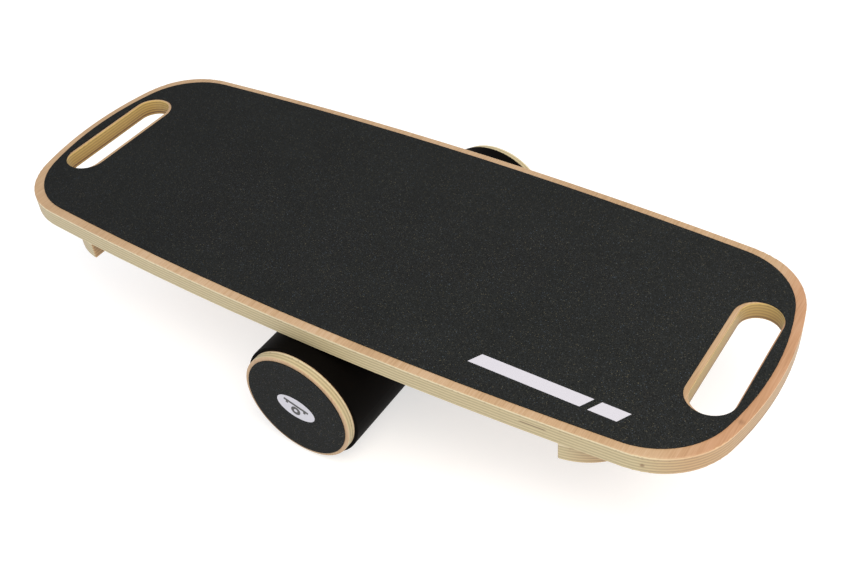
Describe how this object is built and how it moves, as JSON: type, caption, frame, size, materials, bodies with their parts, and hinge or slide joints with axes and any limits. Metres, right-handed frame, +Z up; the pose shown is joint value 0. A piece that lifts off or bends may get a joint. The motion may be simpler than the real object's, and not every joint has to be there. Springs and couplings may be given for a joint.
{
  "type": "balance board",
  "caption": "Bowed plywood deck with hand slots, a gritty top sheet and two stop blocks underneath, rolling on a loose covered cylinder.",
  "frame": {"origin": "on the floor, under the middle of the deck's length and of the roller's length", "axes": "+X along the deck, +Y across it along the roller, +Z up"},
  "size_m": [0.7398, 0.3464, 0.1351],
  "materials": {
    "deck_ply": "birch plywood with a pinkish face veneer, sanded and thinly lacquered",
    "stop_ply": "birch plywood, cut edges, sanded",
    "disc_ply": "birch plywood disc, sanded",
    "plug_ply": "birch plywood, sawn",
    "grip_sheet": "black abrasive anti-slip sheet, fine grit",
    "print_white": "white screen print",
    "sleeve_rubber": "black rubber sleeve, smooth matt",
    "pipe_pvc": "grey rigid PVC pipe",
    "screw_steel": "zinc-plated steel wood screws",
    "label_white": "white vinyl label"
  },
  "bodies": {
    "board": {"deck": "deck_ply", "deck_grip": "grip_sheet", "deck_mark": "print_white", "stop_left": "stop_ply", "stop_right": "stop_ply", "stop_screws_left": "screw_steel", "stop_screws_right": "screw_steel"},
    "roller_core": {"core_pipe": "pipe_pvc"},
    "roller": {"roller_sleeve": "sleeve_rubber", "end_plug_near": "plug_ply", "end_plug_far": "plug_ply", "end_disc_near": "disc_ply", "end_disc_far": "disc_ply", "disc_screws_near": "screw_steel", "disc_screws_far": "screw_steel", "end_grip_near": "grip_sheet", "end_grip_far": "grip_sheet", "end_label_near": "label_white", "end_label_far": "label_white"}
  },
  "joints": [
    {"name": "roll_along", "type": "slide", "parent": "board", "child": "roller_core", "axis": [1, 0, 0], "range_m": [-0.216, 0.193]},
    {"name": "roller_spin", "type": "hinge", "parent": "roller_core", "child": "roller", "pos_m": [0.0117, 0, 0.058], "axis": [0, 1, 0], "range_deg": [-191, 214]}
  ],
  "couplings": [
    {"joint": "roller_spin", "follows": "roll_along", "rad_per_m": -17.241}
  ]
}
